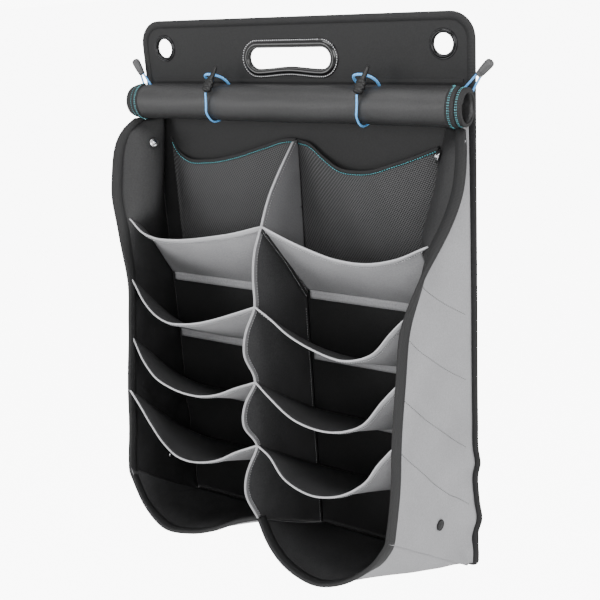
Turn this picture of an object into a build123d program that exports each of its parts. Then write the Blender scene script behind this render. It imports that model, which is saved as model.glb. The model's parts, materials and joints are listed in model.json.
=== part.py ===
from build123d import *
import math
import os

# Hanging shoe organizer: a stiff back panel with two eyelets and a hand slot, two side panels,
# a centre divider, four sloping sling shelves a side, a deep bottom sling a side, two mesh
# pockets, and a cover rolled up under the header and held by two elastic ties.
# Millimetres. X runs across, -Y is the front and +Z is up. The origin is midway between the
# centres of the two hanging eyelets, on the rear face of the back panel, which is the plane Y = 0.

# ---------------------------------------------------------------- driving dimensions
WIDTH = 500.0  # back panel, over its binding
HEIGHT = 741.0
TOP = 37.0  # height of the top edge above the eyelets
HEADER_CORNER = 32.0
FOOT_CORNER = 12.0
BOARD = 2.4  # thickness of the stiffened back panel
CLOTH = 1.6  # laminated cloth of the side panels, shelves and slings
MESH = 1.0
SEAM_GAP = 1.0  # the sewn sheets stop this far in front of the board
SEAM_X = 237.0  # where the side panels are sewn on

EYELET_X = 210.0
EYELET_HOLE_R = 12.5
EYELET_BARREL_R = 13.5
EYELET_FLANGE_R = 18.0

SLOT_LENGTH = 124.0
SLOT_HEIGHT = 27.0
SLOT_X = -5.0
SLOT_Z = -15.0
SLOT_BUMP = 3.0  # the lower edge rises in the middle for the fingers
SLOT_FRAME = 11.0  # width of the moulded frame round the slot

BINDING = 10.0  # width of the tape round the back panel
FRONT_BINDING = 14.0  # width of the tape on the side panels and slings
TAPE = 0.8  # thickness of one leg of that tape

ROWS = 4  # sling shelves in each column
REAR_FIRST = -338.0  # rear seam of the highest shelf
REAR_PITCH = 91.5
SIDE_FIRST = -220.0  # side end of the highest lip
SIDE_PITCH = 76.5
DIVIDER_FIRST = -215.0  # divider end of the highest lip
DIVIDER_PITCH = 95.5
LIP_DEPTH = (92.0, 125.0, 146.0, 162.0)
LIP_SAG = {"left": (28.0, 50.0, 55.0, 68.0), "right": (33.0, 60.0, 65.0, 71.0)}
SLING_DEPTH = 188.0
SLING_SIDE_Z = -568.0
SLING_DIVIDER_Z = -596.0
SLING_SAG = 78.0
SHELF_GAP = 3.6  # the cloth shelves stop this far from the side panels and the divider

ROLL_Y = -31.0  # axis of the rolled cover
ROLL_Z = -69.0
LAYER = 1.7  # one turn of the rolled cover
ROLL_R = 24.0
ROLL_ENDS = ((-236.0, 243.0), (-243.0, 252.0), (-248.0, 252.0))  # outermost turn first
SEAM_Y = -4.6  # hinge line of the cover along the foot of its seam tape
SEAM_Z = -47.0
COVER_SEAM = 470.0
COVER_NECK = 454.0  # width of the cover between its end tapes
COVER_BINDING = 8.0
COVER_BINDING_T = 0.55

TIE_X = (-104.0, 122.0)
CORD_R = 1.7
LOOP_R = 2.2
TOGGLE_BASE = (-55.5, -50.5)
TOGGLE_LENGTH = 36.0
TOGGLE_LEAN = 32.0  # degrees back from upright
TOGGLE_TILT = 12.0  # degrees to the right

PULL_Y = -11.0
TAB_LENGTH = 23.0
TAB_R = 5.6

STUD_UPPER = (-38.0, -126.0)
STUD_LOWER = (-77.0, -600.0)
STUD_CAP_R = 7.5
STUD_CAP_T = 2.2
STUD_R = 6.0
STUD_POST_R = 2.6
STUD_POST_L = 4.0

BOTTOM = TOP - HEIGHT
FRONT_FACE = -BOARD
SEWN_Y = -(BOARD + SEAM_GAP)

# Plan of a side panel at several heights: the inward fold, the groove in front of it and the
# front edge, as (x, y). The rear edge is always on the seam. Low down the panel is straight.
FOLDED = (
    (-95.0, (217, -9), (238, -30), (250, -36)),
    (-123.0, (215, -19), (231, -50), (262, -64)),
    (-163.0, (212, -34), (229, -65), (264, -81)),
    (-191.0, (208, -51), (227, -79), (257, -94)),
    (-218.0, (205, -68), (223, -92), (245, -103)),
    (-263.0, (225, -45), (221, -85), (226, -121)),
)
STRAIGHT = (
    (-303.0, (212, -130)),
    (-363.0, (211, -149)),
    (-450.0, (211, -166)),
    (-523.0, (211, -178)),
    (-568.0, (210, -188)),
    (-698.0, (236, -14)),
)

PARTS = {}


# ---------------------------------------------------------------- side panel shape
def third_points(front):
    """Two points that share a straight stretch between the seam and the front edge."""
    rear = (SEAM_X, SEWN_Y)
    return [tuple(a + (b - a) * n / 3 for a, b in zip(rear, front)) for n in (1, 2)]


def panel_plans():
    """Each height with the panel's plan there, from the seam to the front edge."""
    plans = [(z, [(SEAM_X, SEWN_Y), fold, groove, front]) for z, fold, groove, front in FOLDED]
    for z, front in STRAIGHT:
        plans.append((z, [(SEAM_X, SEWN_Y), *third_points(front), front]))
    return plans


PLANS = panel_plans()


def plan_at(z):
    """The panel's plan at any height, between the two nearest of PLANS."""
    z = min(max(z, PLANS[-1][0]), PLANS[0][0])
    for (z_high, high), (z_low, low) in zip(PLANS, PLANS[1:]):
        if z >= z_low:
            share = (z_high - z) / (z_high - z_low)
            return [tuple(a + (b - a) * share for a, b in zip(p, q)) for p, q in zip(high, low)]


def panel_x(y, z):
    """How far out the inner face of the side panel is at a depth and a height."""
    plan = plan_at(z)
    for (x_a, y_a), (x_b, y_b) in zip(plan, plan[1:]):
        if y >= y_b:
            return x_a + (x_b - x_a) * (y - y_a) / (y_b - y_a)
    return plan[-1][0]


def panel_normal(y, z):
    """Unit vector out of the inner face of the right side panel."""
    step = 1.0
    by_y = (panel_x(y + step, z) - panel_x(y - step, z)) / (2 * step)
    by_z = (panel_x(y, z + step) - panel_x(y, z - step)) / (2 * step)
    return Vector(-1, by_y, by_z).normalized()


# ---------------------------------------------------------------- shared shapes
def add(name, shape):
    PARTS[name] = shape


def mirrored(shape):
    return mirror(shape, about=Plane.YZ)


def add_pair(name, shape):
    """The same piece on both sides; the shape given is the right-hand one."""
    add(f"{name}_right", shape)
    add(f"{name}_left", mirrored(shape))


def shifted(points, distance):
    """An open 2D line moved sideways, to its left for a positive distance."""
    moved = []
    for i, point in enumerate(points):
        before = Vector(*points[max(i - 1, 0)])
        after = Vector(*points[min(i + 1, len(points) - 1)])
        along = (after - before).normalized()
        moved.append((point[0] - along.Y * distance, point[1] + along.X * distance))
    return moved


def strip_face(points, left, right, plane, smooth=False):
    """A narrow face that follows an open line, as wide as left and right say."""
    one, other = shifted(points, left), shifted(points, -right)
    line = Spline if smooth else Polyline
    sides = [line(*one), Line(one[-1], other[-1]), line(*reversed(other)), Line(other[0], one[0])]
    edges = [edge for side in sides for edge in side.edges()]
    return plane * Face(Wire(edges))


def box(low, high):
    size = [b - a for a, b in zip(low, high)]
    centre = [(a + b) / 2 for a, b in zip(low, high)]
    return Pos(*centre) * Box(*size)


def ring(outer_r, inner_r, length):
    """A tube along +Z that starts at the origin."""
    return extrude(Circle(outer_r) - Circle(inner_r), length)


# ---------------------------------------------------------------- back panel and its fittings
def panel_outline(inset=0.0):
    """The back panel's face, drawn on XZ."""
    half = WIDTH / 2 - inset
    top, foot = TOP - inset, BOTTOM + inset
    outline = Polyline((-half, top), (half, top), (half, foot), (-half, foot), close=True)
    face = make_face(outline)
    corners = face.vertices().sort_by(Axis.Y)
    face = fillet(corners[2:], HEADER_CORNER - inset)
    low = [v for v in face.vertices() if v.Y < foot + 1]
    return fillet(low, FOOT_CORNER - inset)


def slot_outline(grow=0.0):
    """The hand slot, or a frame round it, with its lower edge bowed up in the middle."""
    half, tall = SLOT_LENGTH / 2 + grow, SLOT_HEIGHT / 2 + grow
    flat = half - tall
    top = Line((-flat, tall), (flat, tall))
    right = ThreePointArc((flat, tall), (half, 0), (flat, -tall))
    foot = Spline((flat, -tall), (0, SLOT_BUMP - tall), (-flat, -tall), tangents=((-1, 0), (-1, 0)))
    left = ThreePointArc((-flat, -tall), (-half, 0), (-flat, tall))
    return Pos(SLOT_X, SLOT_Z) * make_face(Curve() + [top, right, foot, left])


def on_wall(face, near, far):
    """Extrudes a face drawn on XZ from the depth near to the depth far, both negative forward."""
    return Pos(0, near, 0) * extrude(Plane.XZ * face, near - far)


def make_back_panel():
    holes = [Pos(x, 0) * Circle(EYELET_BARREL_R) for x in (-EYELET_X, EYELET_X)]
    face = panel_outline(TAPE) - slot_outline() - holes
    add("back_panel", on_wall(face, 0, FRONT_FACE))
    band = panel_outline() - panel_outline(BINDING)
    tape = on_wall(band, TAPE, FRONT_FACE - TAPE)
    add("back_binding", tape - on_wall(panel_outline(TAPE), 0, FRONT_FACE))


def make_eyelets():
    """Two-piece eyelets: a flanged barrel from the front and a washer behind."""
    washer_t = 1.0
    flange_t = 2.0
    curl_r = EYELET_BARREL_R + 2.0
    curl_t = 0.7
    profile = Polyline(
        (EYELET_HOLE_R, FRONT_FACE - flange_t),
        (EYELET_FLANGE_R - 2.5, FRONT_FACE - flange_t),
        (EYELET_FLANGE_R, FRONT_FACE - flange_t / 3),
        (EYELET_FLANGE_R, FRONT_FACE),
        (EYELET_BARREL_R, FRONT_FACE),
        (EYELET_BARREL_R, washer_t),
        (curl_r, washer_t),
        (curl_r, washer_t + curl_t),
        (EYELET_HOLE_R, washer_t + curl_t),
        close=True,
    )
    eyelet = revolve(make_face(profile), Axis.Y)
    washer = Rot(-90, 0, 0) * ring(EYELET_FLANGE_R - 0.5, EYELET_BARREL_R + 0.1, washer_t)
    places = [Pos(x, 0, 0) for x in (-EYELET_X, EYELET_X)]
    add("hanging_eyelets", Compound([place * eyelet for place in places]))
    add("eyelet_washers", Compound([place * washer for place in places]))


def make_slot_frame():
    """Moulded frames in front and behind, which meet the board round the slot."""
    outer, inner = slot_outline(SLOT_FRAME), slot_outline()
    front = on_wall(outer - inner, FRONT_FACE, FRONT_FACE - 1.4)
    bead = on_wall(slot_outline(4) - inner, FRONT_FACE - 1.4, FRONT_FACE - 3.2)
    add("slot_frame_front", front + bead)
    add("slot_frame_rear", on_wall(slot_outline(SLOT_FRAME - 3) - inner, 1.2, 0))


# ---------------------------------------------------------------- side panels
def cut_back(plan, width):
    """The plan without the last stretch before its front edge, and that stretch."""
    (x_a, y_a), (x_b, y_b) = plan[-2], plan[-1]
    length = math.hypot(x_b - x_a, y_b - y_a)
    share = (length - min(width, length * 0.6)) / length
    joint = (x_a + (x_b - x_a) * share, y_a + (y_b - y_a) * share)
    return [*plan[:-1], joint], [joint, plan[-1]]


def make_side_panels():
    """Each height gives a strip of the panel and a strip of its front tape."""
    panel, tape = [], []
    for z, plan in PLANS:
        cloth_plan, tape_plan = cut_back(plan, FRONT_BINDING)
        level = Plane.XY.offset(z)
        panel.append(strip_face(cloth_plan, CLOTH, 0, level))
        tape.append(strip_face(tape_plan, CLOTH + TAPE, TAPE, level))
    add_pair("side_panel", loft(panel, ruled=True))
    add_pair("side_binding", loft(tape, ruled=True))


# ---------------------------------------------------------------- centre divider
def make_divider():
    """A grey gusset in the top compartments and the black divider below it."""
    half = CLOTH / 2
    rear = SEWN_Y
    seam_low = (rear, REAR_FIRST + 2)
    gusset_front = Spline((-15, -118), (-58, -157), (-101, -211))
    gusset = [
        gusset_front,
        Line((-101, -211), seam_low),
        Line(seam_low, (rear, -118)),
        Line((rear, -118), (-15, -118)),
    ]
    front = Spline(
        (-101, -213.5), (-131, -262), (-131, -311), (-156, -352), (-148, -408),
        (-169, -452), (-160, -502), (-175, -550), (-170, -600),
    )
    lower = [
        front,
        Line((-170, -600), (rear, BOTTOM + 3)),
        Line((rear, BOTTOM + 3), (rear, REAR_FIRST - 0.5)),
        Line((rear, REAR_FIRST - 0.5), (-101, -213.5)),
    ]
    for name, outline in (("divider_gusset", gusset), ("divider_panel", lower)):
        face = Plane.YZ * make_face(Curve() + outline)
        add(name, Pos(-half, 0, 0) * extrude(face, CLOTH))


# ---------------------------------------------------------------- shelves and slings
def sag_shape(share, skew=1.2):
    """Depth of a loose lip along its length, as a share of the deepest point."""
    return math.sin(math.pi * share**skew) ** 0.85 if 0 < share < 1 else 0.0


def sling_section(y, z_divider, z_side, sag, skew):
    """The cross-section of a sagging sheet between the divider and the side panel."""
    x_in = SHELF_GAP
    x_out = panel_x(y, z_side) - SHELF_GAP
    line = []
    for i in range(9):
        share = i / 8
        z = z_divider + (z_side - z_divider) * share - sag * sag_shape(share, skew)
        line.append((x_in + (x_out - x_in) * share, z))
    plane = Plane(origin=(0, y, 0), x_dir=(1, 0, 0), z_dir=(0, -1, 0))
    return line, plane


def sling(depth, z_divider, z_side, z_rear, sag, skew=1.2):
    """A sheet from its lip down to its rear seam, flattening out towards the seam."""
    faces = []
    for share in (0.0, 0.2, 0.4, 0.6, 0.8, 1.0):
        y = -depth + (depth + SEWN_Y) * share
        keep = 1 - share
        section, plane = sling_section(
            y, z_rear + (z_divider - z_rear) * keep, z_rear + (z_side - z_rear) * keep,
            sag * keep, skew,
        )
        faces.append(strip_face(section, 0, CLOTH, plane, smooth=True))
    return loft(faces, ruled=True)


def make_shelves():
    """The lips on the left hang less deep than those on the right."""
    for side, sags in LIP_SAG.items():
        for row in range(ROWS):
            shelf = sling(
                LIP_DEPTH[row],
                DIVIDER_FIRST - DIVIDER_PITCH * row,
                SIDE_FIRST - SIDE_PITCH * row,
                REAR_FIRST - REAR_PITCH * row,
                sags[row],
            )
            add(f"shelf_{row + 1}_{side}", shelf if side == "right" else mirrored(shelf))


def make_bottom_slings():
    depth = SLING_DEPTH - FRONT_BINDING
    skew = 1.0
    add_pair(
        "bottom_sling",
        sling(depth, SLING_DIVIDER_Z, SLING_SIDE_Z, BOTTOM + 2, SLING_SAG, skew),
    )
    line, plane = sling_section(-depth, SLING_DIVIDER_Z, SLING_SIDE_Z, SLING_SAG, skew)
    face = strip_face(line, TAPE, CLOTH + TAPE, plane, smooth=True)
    add_pair("sling_binding", extrude(face, FRONT_BINDING, dir=(0, -1, 0)))


# ---------------------------------------------------------------- mesh pockets
def pocket_top(share):
    return -129 - 34 * math.sin(math.pi * share) ** 0.8


def make_mesh_pockets():
    """A mesh sheet that bulges off the back panel, with tape on its sagging top edge."""
    x_in = 6.0
    foot = REAR_FIRST + 8
    mesh, tape = [], []
    for share in (0.0, 0.2, 0.4, 0.6, 0.8, 1.0):
        top = pocket_top(share)
        bulge = 2 + 11 * math.sin(math.pi * share)
        x_out = panel_x(SEWN_Y - 4, -163) - 6
        level = Plane.YZ.offset(x_in + (x_out - x_in) * share)
        y_foot, y_top = SEWN_Y - 1, SEWN_Y - bulge
        middle = (y_top - 2, (foot + top) / 2)
        line = [(y_foot, foot), middle, (y_top, top - BINDING - 0.5)]
        mesh.append(strip_face(line, MESH, 0, level))
        tape.append(strip_face([(y_top, top - BINDING), (y_top, top)], MESH + TAPE, TAPE, level))
    add_pair("mesh_pocket", loft(mesh, ruled=True))
    add_pair("mesh_binding", loft(tape, ruled=True))


# ---------------------------------------------------------------- press studs
def stud_plane(y, z):
    """A frame on the right panel's inner face, looking into the organizer."""
    normal = panel_normal(y, z)
    return Plane(origin=(panel_x(y, z), y, z), x_dir=(0, 0, 1), z_dir=normal)


def disc(radius, height, z=0.0):
    return Pos(0, 0, z) * Cylinder(radius, height, align=(Align.CENTER, Align.CENTER, Align.MIN))


def on_both_sides(shapes):
    return Compound(shapes + [mirrored(shape) for shape in shapes])


def make_press_studs():
    """Caps outside, and inside a stud on the upper pair and a socket on the lower pair."""
    gap = 1.0  # the studs stand this far off the cloth
    cap = disc(STUD_CAP_R, STUD_CAP_T, -CLOTH - gap - STUD_CAP_T)
    cap = fillet(cap.edges().group_by(Axis.Z)[0], 0.9)
    base = ring(STUD_R, STUD_R - 2.4, 1.4) + disc(STUD_R - 2, 1.0)
    stud = Pos(0, 0, gap) * (base + disc(STUD_POST_R, STUD_POST_L))
    socket = Pos(0, 0, gap) * ring(STUD_R + 0.5, STUD_POST_R + 0.4, 2.6)
    upper, lower = stud_plane(*STUD_UPPER), stud_plane(*STUD_LOWER)
    add("press_stud_caps", on_both_sides([upper * cap, lower * cap]))
    add("press_studs", on_both_sides([upper * stud]))
    add("press_sockets", on_both_sides([lower * socket]))


# ---------------------------------------------------------------- rolled cover
def cover_tube(outer_r, inner_r, low_x, high_x):
    return Pos(low_x, ROLL_Y, ROLL_Z) * Rot(0, 90, 0) * ring(outer_r, inner_r, high_x - low_x)


def make_cover():
    """The cover's turns, each a little wider than the one outside it, and its neck."""
    roll = None
    for turn, (low_x, high_x) in enumerate(ROLL_ENDS):
        outer_r = ROLL_R - LAYER * turn
        tube = cover_tube(outer_r, ROLL_R - LAYER * len(ROLL_ENDS), low_x, high_x)
        roll = tube if roll is None else roll + tube
    neck = [(SEAM_Y - 0.6, SEAM_Z - 0.6), (ROLL_Y + 15, ROLL_Z + 17.5)]
    strip = strip_face(neck, 0, 1.2, Plane.YZ.offset(-COVER_NECK / 2))
    add("cover_roll", roll + extrude(strip, COVER_NECK, dir=(1, 0, 0)))


def make_cover_bindings():
    """Tape round the outermost turn at its ends, and round what shows of the next turn."""
    for end, (side, inward) in enumerate((("left", 1), ("right", -1))):
        first, second = ROLL_ENDS[0][end], ROLL_ENDS[1][end]
        spans = ((first, first + inward * COVER_BINDING), (second, first - inward * 0.2))
        rings = []
        for turn, span in enumerate(spans):
            bore = ROLL_R - LAYER * turn + 0.05
            rings.append(cover_tube(bore + COVER_BINDING_T, bore, *sorted(span)))
        add(f"cover_binding_{side}", Compound(rings))


def make_cover_seam():
    low = (-COVER_SEAM / 2, FRONT_FACE - 1.4, SEAM_Z + 2.5)
    high = (COVER_SEAM / 2, FRONT_FACE, SEAM_Z + 6.5)
    add("cover_seam_tape", box(low, high))


# ---------------------------------------------------------------- elastic cords and their ends
def corner_radius(before, corner, after):
    """0.45 of the shorter run, divided by the tangent of half the turn."""
    run_in, run_out = corner - before, after - corner
    half_turn = math.radians(run_in.get_angle(run_out)) / 2
    return 0.45 * min(run_in.length, run_out.length) / math.tan(half_turn)


def cord(name, points, radius, radii=None):
    """A round tube along straight runs joined by tangent arcs."""
    vectors = [Vector(*p) for p in points]
    if radii is None:
        radii = [corner_radius(*vectors[i - 1 : i + 2]) for i in range(1, len(vectors) - 1)]
    path = FilletPolyline(*points, radius=radii)
    start = Plane(origin=path @ 0, z_dir=path % 0)
    tube = sweep(start * Circle(radius), path=path)
    wanted = math.pi * radius**2 * path.length
    print(f"{name}: {path.length:.1f} mm, radii {[round(r, 1) for r in radii]},",
          f"volume {tube.volume / wanted:.4f} of section times length")
    add(name, tube)


def make_tie(side, x):
    """A cord from behind the roll, under it and up its front, and the loop that it buttons to."""
    clear = CORD_R + 0.3
    reach = ROLL_R + clear
    rear, front, foot = ROLL_Y + reach, ROLL_Y - reach, ROLL_Z - reach
    cord(
        f"tie_cord_{side}",
        [(x, rear, -57.0), (x, rear, foot), (x, front, foot), (x, front, -57.0)],
        CORD_R,
        [reach - 0.1, reach - 0.1],
    )
    cord(
        f"tie_loop_{side}",
        [
            (x - 19, -14, -47), (x - 22, -23, -39), (x - 15, -36, -31),
            (x + 1, -36, -31), (x + 10, -23, -39), (x + 8, -14, -47),
        ],
        LOOP_R,
    )


def make_toggle(side, x):
    """A flat moulded peg, broad where the cord enters and tapering to a blunt tip."""
    sizes = ((0.0, 15.0, 8.6), (0.45, 12.5, 7.6), (0.62, 7.0, 5.6), (1.0, 4.0, 3.4))
    faces = [Plane.XY.offset(TOGGLE_LENGTH * at) * Ellipse(w / 2, t / 2) for at, w, t in sizes]
    peg = loft(faces, ruled=True)
    place = Pos(x, *TOGGLE_BASE) * Rot(-TOGGLE_LEAN, TOGGLE_TILT, 0)
    add(f"toggle_{side}", place * peg)


def make_side_pull(side, sign, mouth, lean, anchors):
    """A doubled cord with a moulded end, on the edge of the header."""
    profile = Polyline(
        (0, 0),
        (TAB_R - 1.4, 0),
        (TAB_R, TAB_LENGTH - 5),
        (TAB_R - 2, TAB_LENGTH),
        (0, TAB_LENGTH),
        close=True,
    )
    tab = revolve(Plane.XZ * make_face(profile), Axis.Z)
    place = Pos(*mouth) * Rot(0, sign * lean, 0)
    add(f"pull_tab_{side}", place * tab)
    inside = [place * Pos(dx, 0, dz) for dx, dz in ((-2.2, 1), (-2.2, 12), (2.2, 12), (2.2, 1))]
    points = [anchors[0]] + [tuple(p.position) for p in inside] + [anchors[1]]
    cord(f"side_cord_{side}", points, CORD_R)


def make_ties_and_pulls():
    for side, x in zip(("left", "right"), TIE_X):
        make_tie(side, x)
        make_toggle(side, x)
    make_side_pull("right", 1, (257, PULL_Y, -35), 45, [(236, -6, -52), (245.5, -6, -58)])
    make_side_pull("left", -1, (-249, PULL_Y, -34), 28, [(-251, -6.5, -54), (-238, -6.5, -51)])


# ---------------------------------------------------------------- build and write
make_back_panel()
make_eyelets()
make_slot_frame()
make_side_panels()
make_divider()
make_shelves()
make_bottom_slings()
make_mesh_pockets()
make_press_studs()
make_cover()
make_cover_bindings()
make_cover_seam()
make_ties_and_pulls()

os.makedirs("parts", exist_ok=True)
for node, shape in PARTS.items():
    export_step(shape, f"parts/{node}.step")
print(len(PARTS), "nodes")
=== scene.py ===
import json
import math

import bpy
import numpy as np
from mathutils import Matrix, Vector

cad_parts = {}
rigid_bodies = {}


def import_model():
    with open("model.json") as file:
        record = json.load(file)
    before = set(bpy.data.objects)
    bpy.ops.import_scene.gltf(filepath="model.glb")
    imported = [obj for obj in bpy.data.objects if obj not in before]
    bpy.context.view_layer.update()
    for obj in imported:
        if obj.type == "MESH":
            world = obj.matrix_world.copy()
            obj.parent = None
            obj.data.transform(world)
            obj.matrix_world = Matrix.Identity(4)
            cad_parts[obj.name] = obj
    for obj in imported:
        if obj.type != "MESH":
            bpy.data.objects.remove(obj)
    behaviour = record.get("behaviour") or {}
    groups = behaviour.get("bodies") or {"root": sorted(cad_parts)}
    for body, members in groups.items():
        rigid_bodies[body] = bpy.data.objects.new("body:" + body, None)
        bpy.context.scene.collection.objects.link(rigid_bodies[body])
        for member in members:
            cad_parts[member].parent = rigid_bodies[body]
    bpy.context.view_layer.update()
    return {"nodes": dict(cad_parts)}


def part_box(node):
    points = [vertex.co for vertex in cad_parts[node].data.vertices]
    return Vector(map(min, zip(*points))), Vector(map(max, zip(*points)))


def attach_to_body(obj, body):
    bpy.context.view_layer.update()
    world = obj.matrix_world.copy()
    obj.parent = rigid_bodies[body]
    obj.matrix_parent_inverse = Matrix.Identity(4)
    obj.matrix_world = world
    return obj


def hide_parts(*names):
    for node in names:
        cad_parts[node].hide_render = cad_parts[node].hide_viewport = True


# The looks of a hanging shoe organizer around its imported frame. Metres; +Z up, the front faces -Y
# and the origin is midway between the hanging eyelets on the wall side of the back panel.
# Places below are written in millimetres and turned into metres by mm().

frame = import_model()

MM = 0.001
SIDES = (("left", -1), ("right", 1))
BOARD_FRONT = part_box("back_panel")[0].y / MM  # front face of the back panel, in millimetres
SEAM_X = 241.0  # the side panels are sewn on here
ROLL_Y, ROLL_Z = -31.0, -69.0  # axis of the rolled cover
ROLL_R, LAYER = 24.0, 1.7
SEAM_Y = BOARD_FRONT - 0.4


# ---- camera and light
VIEW_TARGET = Vector((-0.016, 0.0, -0.347))
VIEW_DISTANCE = 1.364
VIEW_HEADING = math.radians(33.4)
VIEW_DOWN = math.radians(19.1)
VIEW_ROLL = math.radians(-4.0)
LENS = 58.2


def add_camera():
    """A hand-held view from the right and above, rolled a little."""
    ahead = Vector((
        -math.sin(VIEW_HEADING) * math.cos(VIEW_DOWN),
        math.cos(VIEW_HEADING) * math.cos(VIEW_DOWN),
        -math.sin(VIEW_DOWN),
    ))
    level = Vector((math.cos(VIEW_HEADING), math.sin(VIEW_HEADING), 0))
    above = level.cross(ahead)
    right = level * math.cos(VIEW_ROLL) + above * math.sin(VIEW_ROLL)
    up = above * math.cos(VIEW_ROLL) - level * math.sin(VIEW_ROLL)
    turn = Matrix((right, up, -ahead)).transposed().to_4x4()
    data = bpy.data.cameras.new("camera")
    data.lens = LENS
    data.sensor_width = 36.0
    camera = bpy.data.objects.new("camera", data)
    camera.matrix_world = Matrix.Translation(VIEW_TARGET - ahead * VIEW_DISTANCE) @ turn
    bpy.context.scene.collection.objects.link(camera)
    bpy.context.scene.camera = camera


def add_area_light(name, place, size, power):
    data = bpy.data.lights.new(name, "AREA")
    data.shape = "RECTANGLE"
    data.size, data.size_y = size
    data.energy = power
    light = bpy.data.objects.new(name, data)
    light.location = place
    aim = Vector((0, -0.05, -0.35)) - Vector(place)
    light.rotation_euler = aim.to_track_quat("-Z", "Y").to_euler()
    bpy.context.scene.collection.objects.link(light)


def seen_brightness(tree, others, seen):
    """A strength that is higher where the surround is looked at than where it lights the object."""
    path = tree.nodes.new("ShaderNodeLightPath")
    strength = tree.nodes.new("ShaderNodeMapRange")
    strength.inputs["To Min"].default_value = others
    strength.inputs["To Max"].default_value = seen
    tree.links.new(path.outputs["Is Camera Ray"], strength.inputs["Value"])
    return strength.outputs["Result"]


def add_studio():
    """Large soft lights, a pale floor well below the hanging object and a white surround."""
    add_area_light("front_left", (-1.3, -2.1, 0.1), (1.3, 1.3), 33)
    add_area_light("front", (1.15, -1.95, 0.4), (1.1, 1.1), 35)
    add_area_light("right", (2.3, -0.16, 0.1), (0.9, 1.6), 31)
    add_area_light("top", (0.1, -0.8, 1.7), (1.4, 0.8), 30)
    world = bpy.data.worlds.new("studio")
    world.use_nodes = True
    background = world.node_tree.nodes["Background"]
    background.inputs["Color"].default_value = (1, 1, 1, 1)
    world.node_tree.links.new(seen_brightness(world.node_tree, 0.95, 9.3), background.inputs["Strength"])
    bpy.context.scene.world = world
    bpy.ops.mesh.primitive_plane_add(size=80, location=(0, 0, -1.15))
    floor = bpy.context.object
    floor.name = "floor"
    paint = bpy.data.materials.new("floor")
    paint.use_nodes = True
    shader = paint.node_tree.nodes["Principled BSDF"]
    shader.inputs["Base Color"].default_value = (0.9, 0.9, 0.9, 1)
    shader.inputs["Roughness"].default_value = 0.8
    shader.inputs["Emission Color"].default_value = (1, 1, 1, 1)
    paint.node_tree.links.new(seen_brightness(paint.node_tree, 0.0, 8.0), shader.inputs["Emission Strength"])
    floor.data.materials.append(paint)


# ---- materials
class Shader:
    """A Principled material and a short way to add nodes in front of it."""

    def __init__(self, name, roughness=0.6, metallic=0.0, specular=0.5):
        self.material = bpy.data.materials.new(name)
        self.material.use_nodes = True
        self.tree = self.material.node_tree
        self.bsdf = self.tree.nodes["Principled BSDF"]
        self.bsdf.inputs["Roughness"].default_value = roughness
        self.bsdf.inputs["Metallic"].default_value = metallic
        self.bsdf.inputs["Specular IOR Level"].default_value = specular
        self.bump_out = None

    def feed(self, socket, value):
        """Links an output to a socket, or sets the socket to a plain value."""
        if isinstance(value, bpy.types.NodeSocket):
            self.tree.links.new(value, socket)
        else:
            socket.default_value = value

    def node(self, kind, settings=(), **inputs):
        made = self.tree.nodes.new(kind)
        for key, value in dict(settings).items():
            setattr(made, key, value)
        for key, value in inputs.items():
            self.feed(made.inputs[key.replace("_", " ")], value)
        return made

    def place(self, kind):
        return self.node("ShaderNodeTexCoord").outputs[kind]

    def noise(self, where, scale, detail):
        return self.node("ShaderNodeTexNoise", Vector=where, Scale=scale, Detail=detail).outputs["Fac"]

    def bands(self, where, pitch, direction):
        """Ridges that repeat at a pitch along one axis."""
        settings = {"wave_type": "BANDS", "bands_direction": direction, "wave_profile": "SIN"}
        scale = 2 * math.pi / pitch / 20
        return self.node("ShaderNodeTexWave", settings, Vector=where, Scale=scale).outputs["Fac"]

    def maths(self, operation, first, second):
        made = self.node("ShaderNodeMath", {"operation": operation})
        self.feed(made.inputs[0], first)
        self.feed(made.inputs[1], second)
        return made.outputs[0]

    def colours(self, factor, *stops):
        """A ramp between two stops of (position, (r, g, b)) over a factor, as the base colour."""
        ramp = self.node("ShaderNodeValToRGB", Fac=factor)
        for element, (position, colour) in zip(ramp.color_ramp.elements, stops):
            element.position = position
            element.color = (*colour, 1)
        self.tree.links.new(ramp.outputs["Color"], self.bsdf.inputs["Base Color"])

    def greys(self, factor, value, *stops):
        """The same in grey, with stops of (position, share of the value)."""
        self.colours(factor, *((position, grey(value * share)) for position, share in stops))

    def roughness_from(self, factor, low, high):
        spread = self.node("ShaderNodeMapRange", Value=factor, To_Min=low, To_Max=high)
        self.tree.links.new(spread.outputs[0], self.bsdf.inputs["Roughness"])

    def bump(self, height, distance, strength):
        """Adds a layer of relief on top of those already there."""
        made = self.node("ShaderNodeBump", Height=height, Distance=distance, Strength=strength)
        if self.bump_out is not None:
            self.tree.links.new(self.bump_out, made.inputs["Normal"])
        self.bump_out = made.outputs["Normal"]
        self.tree.links.new(self.bump_out, self.bsdf.inputs["Normal"])


def grey(value):
    return (value, value, value * 1.03)


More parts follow.
